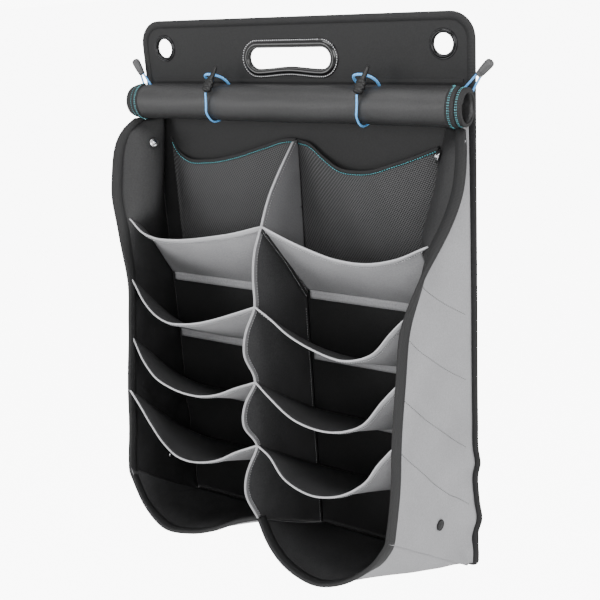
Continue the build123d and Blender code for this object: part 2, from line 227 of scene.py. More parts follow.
def woven(name, value, spread, roughness, specular, where="UV", creases=0.0012):
    """Laminated cloth: a plain weave, heathered threads, soft creases and slightly uneven tone.

    Its tone spreads either side of the grey value; creases are as deep as stated, in metres.
    """
    made = Shader(name, roughness, specular=specular)
    uv = made.place(where)
    solid = made.place("Object")
    weave = made.maths("MULTIPLY", made.bands(uv, 0.0014, "X"), made.bands(uv, 0.0014, "Y"))
    cloud = made.noise(solid, 14.0, 4.0)
    fleck = made.noise(solid, 520.0, 2.0)
    fine = made.maths("ADD", made.maths("MULTIPLY", fleck, 0.6), made.maths("MULTIPLY", weave, 0.15))
    tone = made.maths("ADD", made.maths("MULTIPLY", cloud, 0.4), fine)
    made.greys(tone, value, (0.36, 1 - spread), (0.72, 1 + spread))
    made.bump(made.noise(solid, 26.0, 3.0), creases, 0.5)
    made.bump(made.maths("ADD", weave, made.maths("MULTIPLY", fleck, 0.5)), 0.00022, 0.7)
    made.roughness_from(cloud, roughness - 0.06, roughness + 0.06)
    return made.material


def ribbed_tape(name, value):
    """Grosgrain edge tape: ribs across its length."""
    made = Shader(name, 0.68, specular=0.3)
    uv = made.place("UV")
    ribs = made.bands(uv, 0.0016, "X")
    fibre = made.noise(uv, 900.0, 2.0)
    tone = made.maths("ADD", made.maths("MULTIPLY", ribs, 0.5), made.maths("MULTIPLY", fibre, 0.5))
    made.greys(tone, value, (0.2, 0.6), (0.8, 1.35))
    made.bump(ribs, 0.0003, 0.8)
    made.bump(fibre, 0.0002, 0.4)
    return made.material


NET_SLANT = 32.0
NET_PITCH = (0.0031, 0.0022)


def net_cloth(name):
    """Black net over the dark board: rows of small holes on the slant."""
    made = Shader(name, 0.62, specular=0.35)
    uv = made.place("UV")
    turned = made.node("ShaderNodeMapping", Vector=uv, Rotation=(0, 0, math.radians(NET_SLANT))).outputs[0]
    holes = made.maths("MULTIPLY", *(made.bands(turned, pitch, way) for pitch, way in zip(NET_PITCH, "XY")))
    drape = made.noise(made.place("Object"), 9.0, 2.0)
    made.colours(holes, (0.06, grey(0.060)), (0.32, grey(0.002)))
    made.bump(drape, 0.004, 0.5)
    made.bump(holes, -0.0005, 0.9)
    return made.material


def moulded(name, value, roughness, grain=0.00006, specular=0.5):
    """Moulded plastic with a fine grain and a few finger marks in its gloss."""
    made = Shader(name, roughness, specular=specular)
    solid = made.place("Object")
    smear = made.noise(solid, 60.0, 3.0)
    made.greys(smear, value, (0.3, 0.85), (0.7, 1.2))
    made.roughness_from(smear, roughness * 0.8, min(roughness * 1.25, 1.0))
    made.bump(made.noise(solid, 1400.0, 2.0), grain, 0.5)
    return made.material


def plated(name, value, roughness):
    """Bright plated metal with fine brushing."""
    made = Shader(name, roughness, metallic=1.0)
    solid = made.place("Object")
    marks = made.noise(solid, 320.0, 4.0)
    made.greys(marks, value, (0.3, 0.85), (0.7, 1.1))
    made.roughness_from(marks, roughness * 0.7, roughness * 1.5)
    made.bump(marks, 0.00003, 0.4)
    return made.material


def braided(name, dark, light):
    """Elastic cord with a diamond braid."""
    made = Shader(name, 0.5)
    solid = made.place("Object")
    turned = made.node("ShaderNodeMapping", Vector=solid, Rotation=(0.7, 0.5, 0.6)).outputs[0]
    braid = made.maths("MULTIPLY", made.bands(turned, 0.0016, "X"), made.bands(turned, 0.0016, "Y"))
    worn = made.noise(made.place("UV"), 30.0, 2.0)
    tone = made.maths("ADD", made.maths("MULTIPLY", braid, 0.7), made.maths("MULTIPLY", worn, 0.3))
    made.colours(tone, (0.15, dark), (0.65, light))
    made.bump(braid, 0.0002, 0.6)
    return made.material


def thread(name, colour):
    """Twisted sewing thread."""
    made = Shader(name, 0.55)
    fibre = made.noise(made.place("Object"), 900.0, 2.0)
    dark, light = (tuple(min(c * share, 1) for c in colour) for share in (0.75, 1.2))
    made.colours(fibre, (0.3, dark), (0.7, light))
    made.bump(fibre, 0.00008, 0.5)
    return made.material


# Cloths: grey value, spread of the tone, roughness and specular level.
BLACK_CLOTH = woven("black_cloth", 0.036, 0.4, 0.6, 0.25)
INNER_CLOTH = woven("inner_cloth", 0.017, 0.3, 0.55, 0.3)
BOARD_CLOTH = woven("board_cloth", 0.012, 0.22, 0.55, 0.22, where="Object", creases=0.0008)
COVER_CLOTH = woven("cover_cloth", 0.018, 0.4, 0.42, 0.45, creases=0.0008)
GREY_CLOTH = woven("grey_cloth", 0.26, 0.13, 0.8, 0.3, creases=0.003)
SHELF_CLOTH = woven("shelf_cloth", 0.29, 0.18, 0.8, 0.3)
# A lighter copy of the grey cloth for folds and cut edges: painted highlight where light catches them.
HEM_HIGHLIGHT_CLOTH = woven("hem_cloth_painted_highlight", 0.42, 0.14, 0.78, 0.3)
# A darker copy of the grey cloth for the gusset and the divider's hem: painted shade.
GUSSET_SHADE_CLOTH = woven("gusset_cloth", 0.13, 0.2, 0.8, 0.3)
TAPE = ribbed_tape("binding_tape", 0.014)
NET = net_cloth("net")
GLOSS = moulded("frame_plastic", 0.004, 0.13, grain=0.00002, specular=0.42)
TOGGLE = moulded("toggle_plastic", 0.004, 0.42, specular=0.3)
TAB = moulded("pull_plastic", 0.05, 0.48)
STUD_BLACK = moulded("stud_plastic", 0.006, 0.5, specular=0.3)
EYELET = plated("eyelet_metal", 0.022, 0.12)
NICKEL = plated("stud_metal", 0.5, 0.2)
ELASTIC = braided("elastic", (0.07, 0.30, 0.74), (0.20, 0.60, 1.0))
TEAL = thread("teal_thread", (0.16, 0.70, 0.80))
GREY_THREAD = thread("grey_thread", grey(0.62))
DARK_THREAD = thread("dark_thread", grey(0.05))
PALE_THREAD = thread("pale_thread", grey(0.5))
SILVER = thread("silver_thread", grey(0.75))
TAPE_SOLID = woven("seam_tape", 0.010, 0.18, 0.75, 0.4, where="Object")


# ---- curves and surfaces
def mm(values):
    """Millimetres, in any nesting, to an array in metres."""
    return np.array(values, float) * MM


def through(values, at_values, at):
    """A smooth curve through values known at increasing parameters, read at other parameters."""
    values, knots, at = np.asarray(values, float), np.asarray(at_values, float), np.atleast_1d(at)
    slopes = np.gradient(values, knots, axis=0)
    low = np.clip(np.searchsorted(knots, at, side="right") - 1, 0, len(knots) - 2)
    span = (knots[low + 1] - knots[low])[:, None]
    t = np.clip((at - knots[low])[:, None] / span, 0, 1)
    start, end = values[low], values[low + 1]
    out, into = slopes[low] * span, slopes[low + 1] * span
    return (
        start * (2 * t**3 - 3 * t**2 + 1)
        + out * (t**3 - 2 * t**2 + t)
        + end * (3 * t**2 - 2 * t**3)
        + into * (t**3 - t**2)
    )


def lengths_along(points):
    steps = np.linalg.norm(np.diff(points, axis=0), axis=1)
    return np.concatenate([[0.0], np.cumsum(steps)])


def smooth_line(points, count):
    """Evenly spaced points on a smooth curve through a few given ones."""
    points = np.asarray(points, float)
    knots = lengths_along(points)
    fine = through(points, knots, np.linspace(0, knots[-1], count * 6))
    return resampled(fine, count)


def resampled(points, count):
    run = lengths_along(points)
    wanted = np.linspace(0, run[-1], count)
    return np.stack([np.interp(wanted, run, points[:, k]) for k in range(3)], axis=1)


def unit(vectors):
    return vectors / np.maximum(np.linalg.norm(vectors, axis=-1, keepdims=True), 1e-12)


def grid_normals(grid):
    across = np.gradient(grid, axis=0)
    along = np.gradient(grid, axis=1)
    return unit(np.cross(across, along))


def mirror_if(points, sign):
    return np.asarray(points) * np.array([sign, 1, 1])


def facing(grid, sign):
    """The grid in the order that keeps its given face on the same side when mirrored."""
    return grid if sign > 0 else grid[::-1]


def ring_faces(rings, sides, base=0, closed=False):
    """Quads between rings of vertices that follow one another."""
    faces = []
    for ring in range(rings if closed else rings - 1):
        near, far = base + ring * sides, base + (ring + 1) % rings * sides
        for side in range(sides):
            after = (side + 1) % sides
            faces.append((near + side, near + after, far + after, far + side))
    return faces


# ---- pieces
def add_piece(name, vertices, faces, materials, body, replaces=(), uvs=None, indices=None):
    """A mesh that rides on a body. uvs holds one (u, v) in metres for every face corner."""
    mesh = bpy.data.meshes.new(name)
    mesh.from_pydata([tuple(v) for v in vertices], [], faces)
    for material in materials:
        mesh.materials.append(material)
    if uvs is not None:
        layer = mesh.uv_layers.new(name="cloth")
        layer.data.foreach_set("uv", np.asarray(uvs, np.float32).ravel())
    if indices is not None:
        mesh.polygons.foreach_set("material_index", indices)
    mesh.polygons.foreach_set("use_smooth", [True] * len(mesh.polygons))
    mesh.update()
    piece = bpy.data.objects.new(name, mesh)
    bpy.context.scene.collection.objects.link(piece)
    return attach(piece, body, replaces)


def attach(piece, body, replaces):
    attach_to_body(piece, body)
    if replaces:
        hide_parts(*replaces)
    return piece


def add_shell(name, grid, thickness, materials, replaces=(), body="organizer"):
    """A sheet of cloth: materials are those of its given face, its other face and its cut edge."""
    rows, columns = grid.shape[:2]
    other = grid - grid_normals(grid) * thickness
    vertices = np.concatenate([grid.reshape(-1, 3), other.reshape(-1, 3)])
    u = np.mean([lengths_along(grid[:, c]) for c in (0, columns // 2, -1)], axis=0)
    v = np.mean([lengths_along(grid[r]) for r in (0, rows // 2, -1)], axis=0)
    place = np.stack(np.meshgrid(u, v, indexing="ij"), axis=-1).reshape(-1, 2)
    place = np.concatenate([place, place])
    count = rows * columns
    faces, indices = [], []
    for r in range(rows - 1):
        for c in range(columns - 1):
            a = r * columns + c
            b, d, e = a + columns, a + columns + 1, a + 1
            faces.append((a, b, d, e))
            faces.append((a + count, e + count, d + count, b + count))
            indices += [0, 1]
    ring = list(range(columns))
    ring += [r * columns + columns - 1 for r in range(1, rows)]
    ring += [(rows - 1) * columns + c for c in range(columns - 2, -1, -1)]
    ring += [r * columns for r in range(rows - 2, 0, -1)]
    for a, b in zip(ring, ring[1:] + ring[:1]):
        faces.append((a, b, b + count, a + count))
        indices.append(2)
    uvs = [place[i] for face in faces for i in face]
    return add_piece(name, vertices, faces, materials, body, replaces, uvs, indices)


def add_strip(name, path, outs, profile, material, replaces=(), closed=False):
    """A band with a closed cross-section: profile points are (along outs, across), in metres."""
    outs = unit(outs)
    if closed:
        tangents = unit(np.roll(path, -1, axis=0) - np.roll(path, 1, axis=0))
    else:
        tangents = unit(np.gradient(path, axis=0))
    ups = unit(np.cross(outs, tangents))
    profile = np.asarray(profile)
    sides = len(profile)
    vertices = np.concatenate([place + profile[:, :1] * out + profile[:, 1:] * up
                               for place, out, up in zip(path, outs, ups)])
    run = lengths_along(path)
    girth = lengths_along(np.concatenate([profile, profile[:1]]))
    stations = len(path)
    faces = ring_faces(stations, sides, closed=closed)
    uvs = []
    for k in range(stations if closed else stations - 1):
        low, high = run[k], run[k] + np.linalg.norm(path[(k + 1) % stations] - path[k])
        for left, right in zip(girth, girth[1:]):
            uvs += [(low, left), (low, right), (high, right), (high, left)]
    if not closed:
        first = tuple(range(sides))
        last = tuple((stations - 1) * sides + s for s in reversed(range(sides)))
        faces += [first[::-1], last[::-1]]
        uvs += [tuple(profile[i]) for i in first[::-1]]
        uvs += [tuple(profile[i % sides]) for i in last[::-1]]
    return add_piece(name, vertices, faces, [material], "organizer", replaces, uvs)


def add_lathe(name, places, profile, material, replaces=(), body="organizer", sides=36):
    """Turned pieces: profile points are (radius, height); places are 4x4 matrices, +Z the axis."""
    vertices, faces, uvs = [], [], []
    rings = len(profile)
    angles = np.linspace(0, 2 * math.pi, sides, endpoint=False)
    for place in places:
        faces += ring_faces(rings, sides, len(vertices))
        for radius, height in profile:
            for angle in angles:
                point = Vector((radius * math.cos(angle), radius * math.sin(angle), height))
                vertices.append(tuple(place @ point))
        uvs += [(angle, ring + up) for ring in range(rings - 1) for angle in angles for up in (0, 0, 1, 1)]
    return add_piece(name, vertices, faces, [material], body, replaces, np.array(uvs) * 0.01)


CLOSE_STITCH = (0.0036, 0.0026)  # pitch and length of a stitch, in metres
SHORT_STITCH = (0.0036, 0.0024)
STITCH_LIFT = 0.0003


def add_stitches(name, path, ups, material, pitch, length, slot, body="organizer", width=0.0007):
    """A row of single stitches that lie on a surface along a path."""
    path = np.asarray(path)
    run = lengths_along(path)
    ups = np.broadcast_to(np.asarray(ups, float), path.shape)
    places = np.arange(pitch, run[-1] - pitch / 2, pitch)
    at = lambda array, s: np.array([np.interp(s, run, array[:, k]) for k in range(3)])
    vertices, faces = [], []
    for s in places:
        start, end = at(path, s - length / 2), at(path, s + length / 2)
        up = unit(at(ups, s))
        side = unit(np.cross(end - start, up)) * width / 2
        middle = (start + end) / 2 + up * STITCH_LIFT
        base = len(vertices)
        vertices += [start, middle + side, middle + up * width / 2, middle - side, middle - up * width, end]
        for a, b in ((1, 2), (2, 3), (3, 4), (4, 1)):
            faces += [(base, base + a, base + b), (base + 5, base + b, base + a)]
    return add_piece(name, vertices, faces, [material], body)


def flat_profile(low, high, half):
    """Cross-section of a folded tape: square at its sewn edges and round at its fold."""
    turn = np.linspace(-math.pi / 2, math.pi / 2, 6)
    fold = [(high - half + half * math.cos(a), half * math.sin(a)) for a in turn]
    middle = (low + high) / 2
    return [(low, -half), (middle, -half * 1.05), *fold, (middle, half * 1.05), (low, half)]


# ---- side panels
# Plan of the right side panel at several heights: seam, inward fold, groove, front edge.
PANEL_HEIGHTS = (-95, -123, -163, -191, -218, -263, -303, -363, -450, -523, -560, -568, -578, -698)
PANEL_FOLD = ((217, -9), (215, -19), (212, -34), (209, -51), (208, -66), (223, -50),
              (228, -45), (228, -52), (228, -57), (228, -61), (228, -64.3), (228, -65), (228.7, -60.5),
              (236.6, -7))
PANEL_GROOVE = ((238, -30), (231, -50), (229, -65), (227, -79), (223, -92), (220, -85),
                (220, -88), (220, -100), (219, -112), (219, -120), (219, -125.8), (219, -127),
                (220.3, -118.1), (236.3, -11))
PANEL_FRONT = ((250, -36), (262, -64), (264, -81), (257, -94), (245, -103), (226, -121), (212, -130),
               (211, -149), (211, -166), (211, -178), (210.2, -186.2), (210, -188), (212, -174.6), (236, -14))
# How far the seams push the panel's rear edge outward, as (height, push).
EDGE_WAVE = ((50, 0), (-300, 0), (-480, 0), (-522, 0.5), (-543, 3.2), (-557, 0.3), (-598, 1.6),
             (-629, 4.8), (-645, 0.5), (-657, -1.8), (-680, 0), (-705, -1))
PANEL_ROWS = 150
PANEL_COLUMNS = 40
CLOTH = 0.0016  # thickness of the panels', divider's and slings' cloth
# Front and rear height of each shelf's seam on the side panels.
SHELF_STITCH = ((-253, -336), (-316, -426), (-384, -525), (-448, -613))


def panel_stations(heights):
    """Seam, fold, groove and front edge at each height, as arrays of (x, y) in millimetres."""
    known = -np.array(PANEL_HEIGHTS, float)
    wanted = -np.asarray(heights, float)
    seam = np.tile((SEAM_X, SEAM_Y), (len(wanted), 1))
    others = [through(table, known, wanted) for table in (PANEL_FOLD, PANEL_GROOVE, PANEL_FRONT)]
    return [seam, *others]


def panel_row(stations, index, shares):
    """The panel's plan at one height, read at shares of its width from the seam outward."""
    plan = np.array([station[index] for station in stations])
    knots = np.concatenate([[0.0], np.cumsum(np.linalg.norm(np.diff(plan, axis=0), axis=1))])
    return through(plan, knots, np.asarray(shares) * knots[-1])


def panel_x(y, z):
    """Where the right panel's inner face is at a depth and height, in millimetres."""
    row = panel_row(panel_stations([z]), 0, np.linspace(0, 1, 60))
    order = np.argsort(row[:, 1])
    return float(np.interp(y, row[order, 1], row[order, 0]))


def panel_dimples(y, z):
    """Shallow hollows where the shelves pull on the panel, and a few soft folds."""
    depth = 0.0
    for front_z, rear_z in SHELF_STITCH:
        line = rear_z + (front_z - rear_z) * (-y / 150.0)
        depth = depth - 1.3 * np.exp(-(((z - line) / 9.0) ** 2)) * np.clip(-y / 30.0, 0, 1)
    waves = 1.7 * np.sin(z / 31.0 + y / 46.0) + 0.9 * np.sin(z / 17.0 - y / 23.0 + 1.0)
    below = 1 / (1 + np.exp((z + 250) / 18.0))
    return (depth + waves * np.clip(-y / 60.0, 0, 1)) * below


def edge_wave(z):
    """How far the seams push the panel's rear edge and its tape outward, in millimetres."""
    heights, waves = zip(*EDGE_WAVE)
    return through(np.array(waves)[:, None], -np.array(heights, float), -np.atleast_1d(z))[:, 0]


def up_to_roll(y, z):
    """Stretches the panel's top so that it ends against the underside of the roll."""
    under = ROLL_Z - np.sqrt(np.clip((ROLL_R + 0.9) ** 2 - (y - ROLL_Y) ** 2, 130, None))
    return z + (under - PANEL_HEIGHTS[0]) * np.clip((z + 135) / 40, 0, 1)


def panel_grid():
    heights = np.linspace(PANEL_HEIGHTS[0], PANEL_HEIGHTS[-1], PANEL_ROWS)
    stations = panel_stations(heights)
    shares = np.linspace(0, 1, PANEL_COLUMNS)
    grid = np.zeros((PANEL_ROWS, PANEL_COLUMNS, 3))
    for i, z in enumerate(heights):
        row = panel_row(stations, i, shares)
        inside = np.clip((0.92 - shares) / 0.2, 0, 1) * np.clip(shares / 0.1, 0, 1)
        grid[i, :, 0] = row[:, 0] + panel_dimples(row[:, 1], z) * inside
        grid[i, :, 0] += edge_wave(z) * np.clip(1 - shares / 0.3, 0, 1)
        grid[i, :, 1] = row[:, 1]
        grid[i, :, 2] = up_to_roll(row[:, 1], z)
    return grid * MM


def make_side_panels():
    grid = panel_grid()
    for side, sign in SIDES:
        sheet = mirror_if(grid, sign)
        inner_first = sheet if sign > 0 else sheet[:, ::-1]
        piece = add_shell(f"side_cloth_{side}", inner_first, CLOTH, (INNER_CLOTH, GREY_CLOTH, GREY_CLOTH),
                          (f"side_panel_{side}",))


# ---- centre divider
# Front edge of the divider from the foot of the cover to the floor of the slings, as (y, z).
DIVIDER_FRONT = ((-15, -120), (-58, -157), (-79, -178), (-101, -211), (-115, -238), (-124, -276),
                 (-131, -312), (-148, -343), (-153, -368), (-144, -412), (-161, -434), (-167, -464),
                 (-152, -501), (-168, -530), (-175, -560), (-165, -603))
JUNCTIONS = (-211, -312, -412, -501, -603)
BOW = {-211: 4.0, -312: 7.0, -412: 8.0, -501: 9.0}  # how far it bows below each junction


def divider_bow(y, z):
    """The divider's front hem bows to the left between the shelves that pull on it."""
    front = float(np.interp(-z, [-p[1] for p in DIVIDER_FRONT], [p[0] for p in DIVIDER_FRONT]))
    for high, low in zip(JUNCTIONS, JUNCTIONS[1:]):
        if low <= z <= high:
            share = (high - z) / (high - low)
            near = math.exp(-max(y - front, 0) / 42.0)
            return -BOW[high] * math.sin(math.pi * share) ** 1.2 * near
    return 0.0


def divider_line():
    """Evenly spaced points down the divider's front edge, in millimetres."""
    flat = [(0, y, z) for y, z in DIVIDER_FRONT]
    line = smooth_line(flat, 120)
    line[:, 0] = [divider_bow(y, z) for _, y, z in line]
    return line


def divider_grid(line, rear_low):
    """A sheet from the front edge back to the board; the lowest rear point is given."""
    shares = np.linspace(0, 1, 26)
    rear_z = np.interp(-line[:, 2], [-line[0, 2], -line[-1, 2]], [-line[0, 2], -rear_low])
    grid = np.zeros((len(line), len(shares), 3))
    for i, (_, y, z) in enumerate(line):
        for j, share in enumerate(shares):
            there = np.array([y + (SEAM_Y - y) * share, z + (-rear_z[i] - z) * share])
            grid[i, j] = (divider_bow(there[0], z) * (1 - share), *there)
    return grid * MM


def make_divider():
    line = divider_line()
    split = int(np.argmin(np.abs(line[:, 2] - JUNCTIONS[0])))
    parts = (
        # The gusset's cloth is a darker grey than the shelves': painted shade.
        ("gusset_cloth", line[: split + 1], -337, GUSSET_SHADE_CLOTH, "shelf_cloth", "gusset", (0.12, 0.22)),
        ("cloth", line[split:], -702, BLACK_CLOTH, "divider_cloth", "panel", (0.18, 0.50)),
    )
    for name, part, rear_low, material, slot, node, size in parts:
        grid = divider_grid(part, rear_low)
        piece = add_shell(f"divider_{name}", grid, CLOTH, (material,) * 3, (f"divider_{node}",))
    make_divider_hem(line)


def make_divider_hem(line):
    """The front edge's hem in darker grey for painted shade, with a lighter fold on each side of it for a
    painted highlight, and a row of stitches.
    """
    path = resampled(line, 220) * MM
    outs = np.tile((0.0, -1.0, 0.15), (len(path), 1))
    # The hem's body is a darker grey than the grey cloth: painted shade.
    add_strip("divider_hem", path, outs, flat_profile(-0.0075, 0.0, 0.0011), GUSSET_SHADE_CLOTH)
    # Each fold is a lighter grey than the grey cloth: a painted highlight.
    for number, offset in (("a", -0.0008), ("b", 0.0008)):
        profile = [(x, y + offset) for x, y in flat_profile(-0.0004, 0.0008, 0.0005)]
        add_strip(f"divider_fold_{number}", path, outs, profile, HEM_HIGHLIGHT_CLOTH)
    for side, sign in SIDES:
        row = path + np.array([sign * 0.0012, 0.0064, -0.001])
        add_stitches(f"divider_stitch_{side}", row, (sign, 0, 0), PALE_THREAD, *CLOSE_STITCH, "shelf_cloth",
                     width=0.0006)
        add_divider_seams(side, sign)


def add_divider_seams(side, sign):
    """The rear seam of the divider, and the dark seam allowance under the highest shelf."""
    rear = mm([(sign * 1.7, -13, z) for z in np.linspace(-350, -695, 40)])
    add_stitches(f"divider_rear_{side}", rear, (sign, 0, 0), PALE_THREAD, 0.0038, 0.0024, "divider_cloth",
                 width=0.0006)
    path = resampled(mm([(sign * 2.2, -99, -214), (sign * 2.2, -52, -268), (sign * 2.2, -6, -331)]), 60)
    outs = np.tile((0, -0.78, -0.63), (len(path), 1))
    add_strip(f"divider_tape_{side}", path, outs, flat_profile(0.0, 0.0085, 0.0006), TAPE)
    for number, away in (("upper", 1.2), ("lower", 7.2)):
        row = path + np.array([sign * 0.7, -0.78 * away, -0.63 * away]) * MM
        add_stitches(f"divider_tape_stitch_{number}_{side}", row, (sign, 0, 0), GREY_THREAD, *CLOSE_STITCH,
                     "divider_cloth", width=0.0005)


# ---- shelves
# Lip of each shelf from the divider to the side panel, as (distance from the middle, y, z).
LIPS = {
    1: (
        ((1, -102, -213), (30, -101, -225), (62, -100, -236), (111, -100, -247), (150, -100, -247),
         (188, -99, -237), (222, -97, -219)),
        ((1, -131, -312), (20, -127, -326), (44, -125, -345), (78, -125, -360), (122, -125, -368),
         (158, -125, -355), (187, -125, -323), (208, -125, -299)),
        ((1, -144, -412), (22, -145, -428), (62, -145, -455), (110, -145, -460), (152, -145, -443),
         (183, -146, -404), (208, -147, -375)),
        ((1, -152, -500), (22, -157, -508), (50, -160, -536), (86, -160, -549), (124, -160, -541),
         (160, -161, -515), (188, -165, -477), (209, -167, -451)),
    ),
    -1: (
        ((1, -102, -213), (47, -101, -227), (84, -100, -235), (117, -100, -241), (152, -100, -245),
         (180, -100, -245), (203, -99, -239), (222, -97, -222)),
        ((1, -131, -312), (30, -127, -325), (64, -125, -339), (97, -125, -350), (127, -125, -356),
         (154, -125, -357), (175, -125, -349), (193, -125, -332), (208, -125, -300)),
        ((1, -144, -412), (31, -145, -426), (61, -145, -441), (90, -145, -449), (119, -145, -450),
         (148, -145, -445), (171, -146, -435), (190, -146, -416), (208, -147, -378)),
        ((1, -152, -500), (29, -158, -514), (56, -160, -531), (86, -160, -542), (113, -160, -546),
         (135, -160, -543), (158, -161, -527), (178, -164, -499), (192, -166, -474), (209, -167, -450)),
    ),
}
REAR_SEAMS = (-338.0, -429.5, -521.0, -612.5)
FLANGE = 11.0  # seam allowance that lies on the board below each shelf
SHELF_ACROSS = 64
SHELF_BACK = 30
HEM = 10.0


def shelf_grid(lip_points, seam_z, sign):
    """From the lip down to the board."""
    lip = smooth_line(lip_points, SHELF_ACROSS)
    first, last = lip[0, 0], lip[-1, 0]
    rows = []
    for i, (x, lip_y, lip_z) in enumerate(lip):
        at_lip, at_rear = (x - first) / (last - first), i / (SHELF_ACROSS - 1)
        row = []
        for share in np.linspace(0, 1, SHELF_BACK):
            y = lip_y + (SEAM_Y - 0.6 - lip_y) * share
            z = lip_z + (seam_z + FLANGE * 0.8 - lip_z) * share - math.sin(math.pi * share)
            outer, inner = panel_x(y, z) - 1.2, divider_bow(y, z) * sign + 1.0
            across = at_lip * (1 - share) + at_rear * share
            row.append((inner + (outer - inner) * across, y, z))
        rows.append(row)
    return mirror_if(np.array(rows), sign) * MM


def make_shelves():
    for side, sign in SIDES:
        for row, (lip_points, seam_z) in enumerate(zip(LIPS[sign], REAR_SEAMS), start=1):
            grid = shelf_grid(lip_points, seam_z, sign)
            # The shelf's cut edge is in the lighter hem cloth: a painted highlight.
            piece = add_shell(f"shelf_cloth_{row}_{side}", facing(grid, sign), -0.0014,
                              (SHELF_CLOTH, BLACK_CLOTH, HEM_HIGHLIGHT_CLOTH), (f"shelf_{row}_{side}",))
            make_shelf_hem(row, side, sign, grid)


def make_shelf_hem(row, side, sign, grid):
    """The folded hem on a shelf's lip, in lighter grey for a painted highlight, its stitching, and the
    stitched flange at the board.
    """
    lip, behind = grid[:, 0], grid[:, 2]
    outs = unit(lip - behind)
    # The lip's hem is lighter than the shelf: a painted highlight on its fold.
    add_strip(f"shelf_hem_{row}_{side}", lip + outs * 0.0004, outs, flat_profile(-HEM * MM, 0.0006, 0.0010),
              HEM_HIGHLIGHT_CLOTH)
    down = unit(np.cross(np.gradient(lip, axis=0), outs)) * (1 if sign > 0 else -1)
    down *= np.sign(-down[:, 2:] + 1e-9)
    stitch = lip - outs * (HEM - 2) * MM + down * 0.0015
    add_stitches(f"shelf_stitch_{row}_{side}", stitch, down, GREY_THREAD, *CLOSE_STITCH, "shelf_cloth")
    drops = np.linspace(0.0015, -FLANGE * MM, 4)
    flange = np.stack([grid[1:-1, -1] + np.array([0, -0.0008, drop]) for drop in drops], axis=1)
    flange = facing(flange, sign)
    add_shell(f"shelf_flange_{row}_{side}", flange, 0.0009, (SHELF_CLOTH,) * 3)
    seam = flange[:, 0] + np.array([0, -0.0005, -0.003])
    add_stitches(f"shelf_seam_{row}_{side}", seam, (0, -1, 0), PALE_THREAD, *SHORT_STITCH, "shelf_cloth",
                 width=0.0006)


# ---- bottom slings and their tape
SLING_LIP = {
    1: ((209.5, -187, -562), (205, -189, -576), (193, -189, -597), (172, -189, -622), (141, -189, -646),
        (98, -189, -661), (55, -186, -650), (24, -177, -628), (1, -165, -604)),
    -1: ((209.5, -187, -562), (206, -184, -592), (194, -182, -624), (163, -181, -651), (117, -180, -649),
         (67, -179, -631), (28, -174, -611), (1, -165, -604)),
}


FOOT = -702.0  # height of the seam between the slings and the board


def sling_grid(sign):
    """From the lip back to the board, with a belly that fades out at the side seam."""
    rows = []
    for x, y, z in smooth_line(SLING_LIP[sign], 72):
        rear_x = min(x * SEAM_X / 209.0, SEAM_X - 4)
        belly = 3.0 + 11.0 * np.clip((x - 110) / 70, 0, 1) * np.clip((209.5 - x) / 14, 0, 1)
        row = []
        for share in np.linspace(0, 1, 28):
            drop = belly * math.sin(math.pi * share)
            row.append((x + (rear_x - x) * share, y + (SEAM_Y - 0.6 - y) * share,
                        z + (FOOT - z) * share - drop))
        rows.append(row)
    return mirror_if(np.array(rows), sign) * MM


def make_slings():
    for side, sign in SIDES:
        grid = sling_grid(sign)
        piece = add_shell(f"sling_cloth_{side}", facing(grid, -sign), -CLOTH,
                          (GREY_CLOTH, BLACK_CLOTH, GREY_CLOTH), (f"bottom_sling_{side}",))
        make_front_tape(side, sign, grid)


FRONT_TAPE = (-0.014, 0.0018, 0.0028)  # its reach behind and before the edge, and half its thickness
RIPPLE, RIPPLE_LENGTH = 0.0008, 0.019
CORNER_Z, CORNER_SPAN, CORNER_OUT = -0.570, 0.009, 0.0016  # it covers the panel's lower corner


def make_front_tape(side, sign, sling):
    """One tape down the front edge of the side panel and along the lip of the sling."""
    heights = np.linspace(PANEL_HEIGHTS[0], -560, 130)
    _, _, groove, front = panel_stations(heights)
    edge = np.column_stack([front, up_to_roll(front[:, 1], heights)])
    out_side = np.column_stack([front - groove, np.zeros(len(heights))])
    lip = smooth_line(SLING_LIP[sign], 110)
    along_cloth = unit(sling[:, 0] - sling[:, 1])
    along_cloth = along_cloth[np.linspace(0, len(sling) - 1, len(lip)).round().astype(int)] * (sign, 1, 1)
    near_side = np.clip((lip[:, :1] - 170) / 30, 0, 1)
    out_lip = along_cloth * near_side + np.array([0, -0.97, 0.24]) * (1 - near_side)
    lip, out_lip = lip[lip[:, 2] < -566], out_lip[lip[:, 2] < -566]
    path = mirror_if(np.concatenate([edge, lip]), sign) * MM
    outs = mirror_if(np.concatenate([unit(out_side), unit(out_lip)]), sign)
    for _ in range(12):
        outs[1:-1] = (outs[:-2] + outs[1:-1] * 2 + outs[2:]) / 4
        path[1:-1] = (path[:-2] + path[1:-1] * 2 + path[2:]) / 4
    ripple = RIPPLE * np.sin(lengths_along(path) / RIPPLE_LENGTH)
    path = path + outs * ripple[:, None]
    path[:, 0] += sign * CORNER_OUT * np.exp(-(((path[:, 2] - CORNER_Z) / CORNER_SPAN) ** 2))
    add_strip(f"front_tape_{side}", path, outs, flat_profile(*FRONT_TAPE), TAPE,
              (f"side_binding_{side}", f"sling_binding_{side}"))


# ---- mesh pockets
POCKET_TOPS = {
    1: ((1, -118), (18, -121), (40, -137), (67, -152), (100, -154), (150, -140), (203, -120)),
    -1: ((1, -117), (13, -117), (50, -127), (100, -142), (150, -151), (182, -151), (204, -140), (214, -122)),
}
POCKET_FOOT = -325.0


